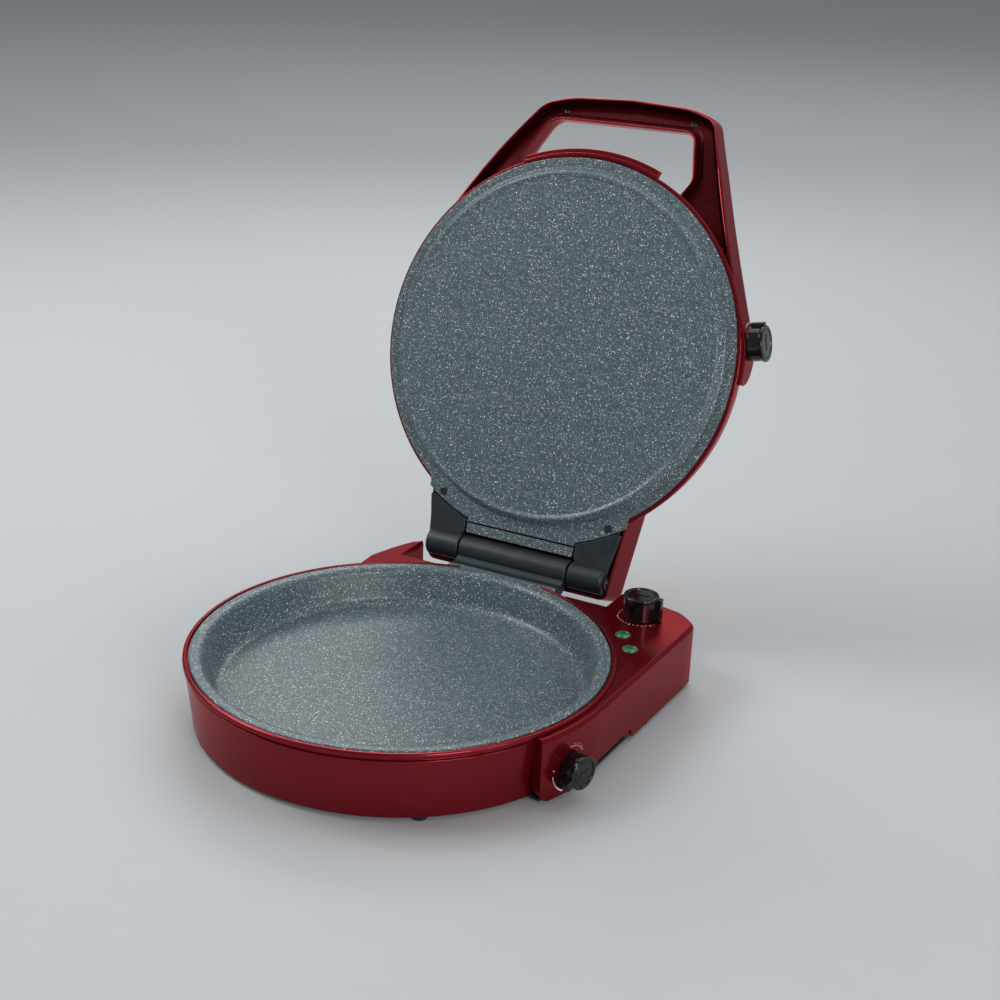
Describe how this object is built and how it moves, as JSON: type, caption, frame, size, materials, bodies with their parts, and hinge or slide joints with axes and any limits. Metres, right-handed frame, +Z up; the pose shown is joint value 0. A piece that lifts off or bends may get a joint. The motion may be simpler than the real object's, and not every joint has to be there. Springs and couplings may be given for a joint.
{
  "type": "electric pizza maker",
  "caption": "Round electric pizza maker with a deep coated pan, a hinged plate-carrying lid with a raised front handle, temperature knobs and a timer.",
  "frame": {"origin": "middle of the outline on the table plane under the feet, 9.1 mm right of and 114.2 mm behind the centre of the round pan", "axes": "+X to the right seen from the front, +Y from the front to the hinge at the back, +Z up; stored with the lid open"},
  "size_m": [0.3371, 0.5482, 0.4177],
  "materials": {
    "red_enamel": "metallic wine-red lacquer over moulded plastic",
    "stone_coat": "slate-grey stone non-stick coating with pale flecks",
    "charcoal_cast": "charcoal cast hinge metal",
    "black_knob": "glossy black thermoset",
    "black_inner": "matte black moulded plastic",
    "foot_rubber": "soft black rubber",
    "green_lens": "green translucent lens",
    "steel": "zinc-plated steel",
    "dark_screw": "blackened steel screw",
    "heater_sheath": "oxidised heater sheath",
    "reflector": "pressed aluminium reflector",
    "brass_bell": "pressed brass bell"
  },
  "bodies": {
    "base": {"base_housing": "red_enamel", "base_bottom_cover": "black_inner", "bottom_screws": "steel", "rubber_feet": "foot_rubber", "lower_pan": "stone_coat", "hinge_knuckle": "charcoal_cast", "knuckle_screws": "steel", "hinge_pin": "steel", "hinge_clips": "steel", "lower_heating_element": "heater_sheath", "lower_heat_shield": "reflector", "lower_element_clamps": "steel", "lower_thermostat": "black_inner", "timer_mechanism": "steel", "timer_bell": "brass_bell", "power_lens": "green_lens", "heat_lens": "green_lens", "indicator_lamps": "steel", "power_inlet": "black_inner", "inlet_pins": "steel", "inlet_screws": "steel", "terminal_block": "black_inner"},
    "lid": {"lid_housing": "red_enamel", "handle_cover": "red_enamel", "handle_screws": "dark_screw", "upper_plate": "stone_coat", "plate_screws": "dark_screw", "left_hinge_ear": "charcoal_cast", "right_hinge_ear": "charcoal_cast", "upper_heating_element": "heater_sheath", "upper_heat_shield": "reflector", "upper_element_clamps": "steel", "upper_thermostat": "black_inner"},
    "lower_control": {"lower_knob_shaft": "steel", "lower_knob": "black_knob"},
    "upper_control": {"upper_knob_shaft": "steel", "upper_knob": "black_knob"},
    "timer_control": {"timer_shaft": "steel", "timer_knob": "black_knob"}
  },
  "joints": [
    {"name": "lid_hinge", "type": "hinge", "parent": "base", "child": "lid", "pos_m": [-0.0091, 0.0658, 0.0595], "axis": [1, 0, 0], "range_deg": [0, 108]},
    {"name": "lower_knob_turn", "type": "hinge", "parent": "base", "child": "lower_control", "pos_m": [0.15218, -0.15352, 0.0225], "axis": [0.9715, -0.2368, 0], "range_deg": [0, 270]},
    {"name": "upper_knob_turn", "type": "hinge", "parent": "lid", "child": "upper_control", "pos_m": [0.15166, 0.14204, 0.25532], "axis": [0.9833, 0.0563, 0.1733], "range_deg": [0, 270]},
    {"name": "timer_knob_turn", "type": "hinge", "parent": "base", "child": "timer_control", "pos_m": [0.1174, 0.0368, 0.0525], "axis": [0, 0, 1], "range_deg": [-300, 0]}
  ]
}
